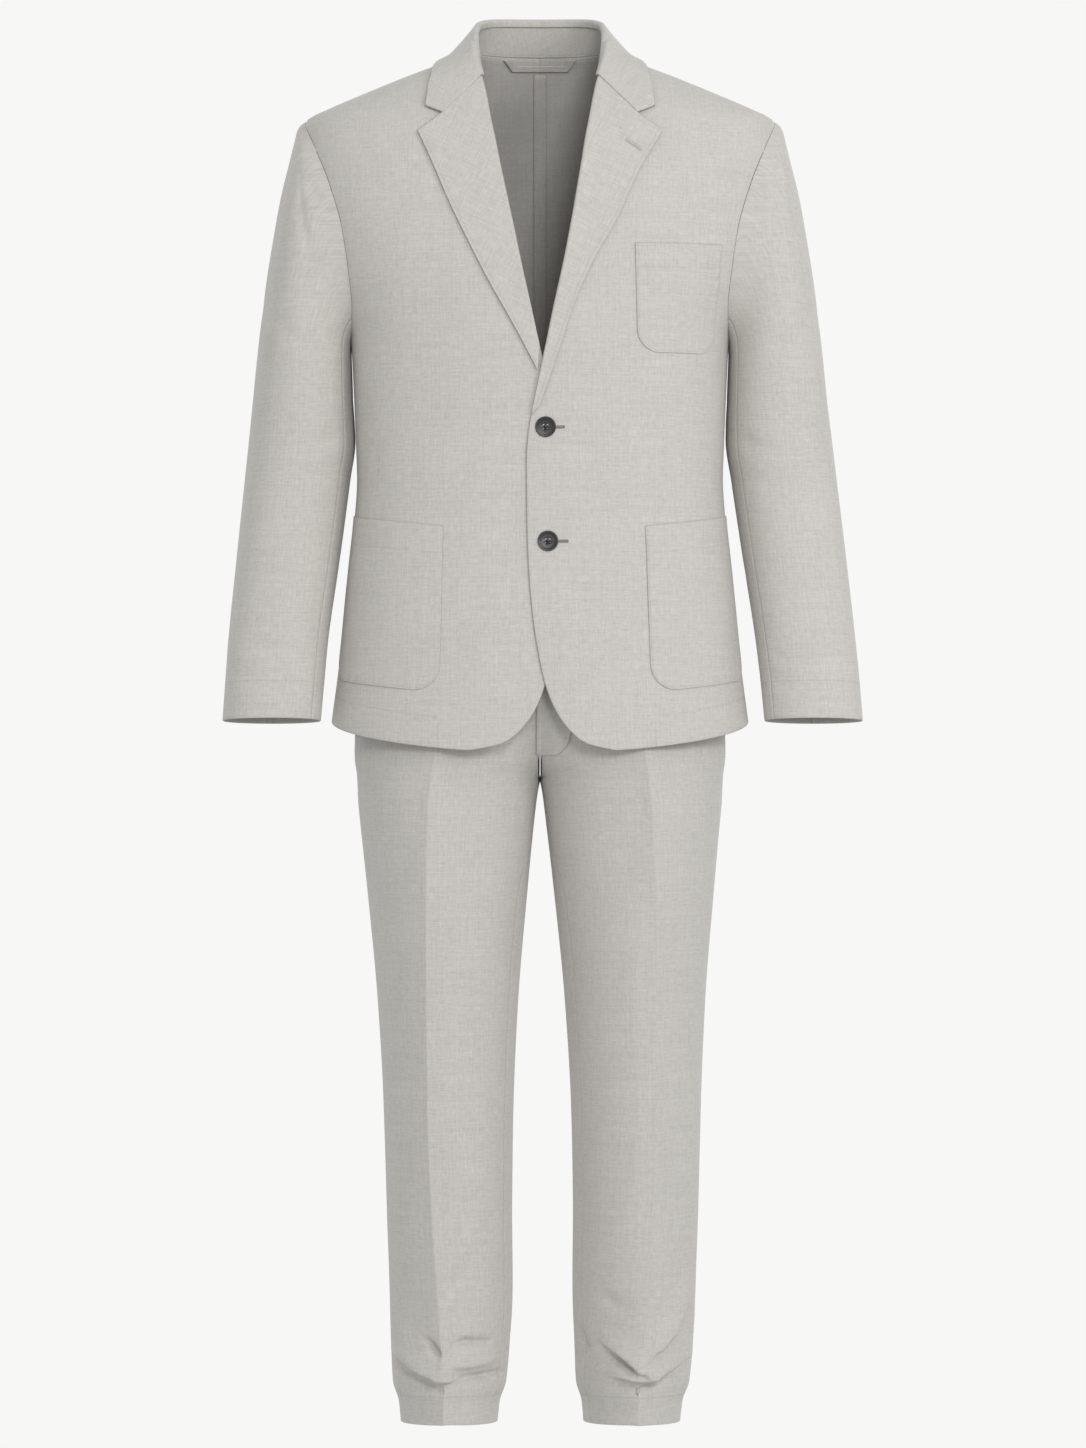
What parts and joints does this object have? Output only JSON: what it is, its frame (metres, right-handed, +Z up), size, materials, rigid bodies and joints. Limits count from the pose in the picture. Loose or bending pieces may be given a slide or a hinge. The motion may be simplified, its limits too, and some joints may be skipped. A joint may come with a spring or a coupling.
{
  "type": "linen suit",
  "caption": "Worn, hollow linen suit: unlined two-button jacket with notch lapels and patch pockets over straight creased trousers.",
  "frame": {"origin": "between the wearer's shoulders, at the height where the shoulder seams meet the neck, in the plane of the shoulder seams", "axes": "+Z up, +X to the wearer's left, the front faces -Y"},
  "size_m": [0.6775, 0.2677, 1.5087],
  "materials": {
    "linen": "plain weave linen, matt",
    "button": "dark, low sheen"
  },
  "bodies": {
    "root": {"jacket_front_left": "linen", "jacket_front_right": "linen", "jacket_back_left": "linen", "jacket_back_right": "linen", "lapel_left": "linen", "lapel_right": "linen", "collar_fall": "linen", "collar_stand": "linen", "sleeve_left_top": "linen", "sleeve_left_under": "linen", "sleeve_right_top": "linen", "sleeve_right_under": "linen", "pocket_chest": "linen", "pocket_hip_left": "linen", "pocket_hip_right": "linen", "hanger_loop": "linen", "back_seam_tape": "linen", "trouser_front_left": "linen", "trouser_front_right": "linen", "trouser_back_left": "linen", "trouser_back_right": "linen", "waistband": "linen", "fly": "linen", "button_top": "button", "button_bottom": "button"}
  },
  "joints": []
}
